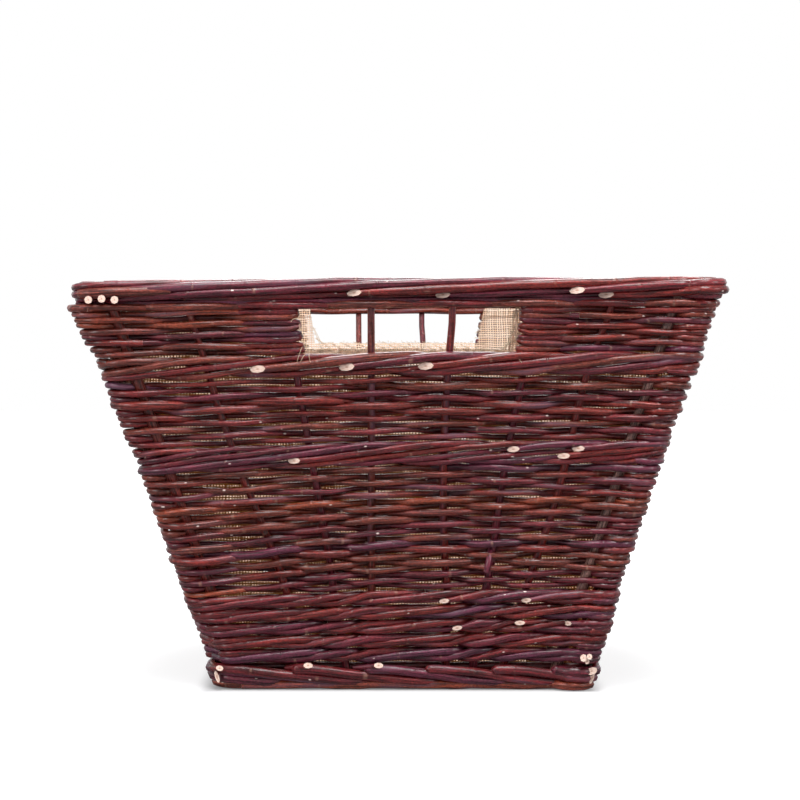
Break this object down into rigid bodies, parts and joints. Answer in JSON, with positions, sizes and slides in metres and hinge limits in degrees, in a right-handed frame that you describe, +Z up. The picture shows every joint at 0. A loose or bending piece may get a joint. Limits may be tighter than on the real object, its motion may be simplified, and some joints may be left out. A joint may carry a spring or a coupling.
{
  "type": "wicker firewood basket",
  "caption": "Square flared willow basket with a rolled rim, a sewn-in hessian liner and a hand hole in two opposite walls, for carrying and storing logs.",
  "frame": {"origin": "on the floor, at the middle of the foot", "axes": "+Z up; -Y is the front, one of the two walls with a hand hole; +X to the right seen from the front"},
  "size_m": [0.5136, 0.5136, 0.342],
  "materials": {
    "dark_willow": "semi-gloss bark, dark red-brown",
    "pale_willow": "satin, peeled and greyed",
    "base_willow": "satin bark, brown",
    "hessian": "coarse open plain weave, matte",
    "sewing_thread": "matte thread"
  },
  "bodies": {
    "root": {"foot_border": "dark_willow", "base_weave": "base_willow", "base_stick_1": "base_willow", "base_stick_2": "base_willow", "base_stick_3": "base_willow", "base_stick_4": "base_willow", "base_stick_5": "base_willow", "base_stick_6": "base_willow", "base_stick_7": "base_willow", "lower_wale": "dark_willow", "lower_weave": "dark_willow", "middle_wale": "dark_willow", "upper_weave": "dark_willow", "hole_wale": "dark_willow", "left_hand_weave": "dark_willow", "right_hand_weave": "dark_willow", "top_wale": "dark_willow", "top_border": "dark_willow", "front_stake_1": "dark_willow", "front_stake_2": "dark_willow", "front_stake_3": "dark_willow", "front_stake_4": "dark_willow", "front_stake_5": "dark_willow", "front_stake_6": "dark_willow", "front_corner_stick_left": "pale_willow", "front_corner_stick_right": "pale_willow", "right_stake_1": "dark_willow", "right_stake_2": "dark_willow", "right_stake_3": "dark_willow", "right_stake_4": "dark_willow", "right_stake_5": "dark_willow", "right_stake_6": "dark_willow", "right_corner_stick_left": "pale_willow", "right_corner_stick_right": "pale_willow", "back_stake_1": "dark_willow", "back_stake_2": "dark_willow", "back_stake_3": "dark_willow", "back_stake_4": "dark_willow", "back_stake_5": "dark_willow", "back_stake_6": "dark_willow", "back_corner_stick_left": "pale_willow", "back_corner_stick_right": "pale_willow", "left_stake_1": "dark_willow", "left_stake_2": "dark_willow", "left_stake_3": "dark_willow", "left_stake_4": "dark_willow", "left_stake_5": "dark_willow", "left_stake_6": "dark_willow", "left_corner_stick_left": "pale_willow", "left_corner_stick_right": "pale_willow", "hessian_liner": "hessian", "rim_thread": "sewing_thread", "front_hole_thread": "sewing_thread", "back_hole_thread": "sewing_thread"}
  },
  "joints": []
}
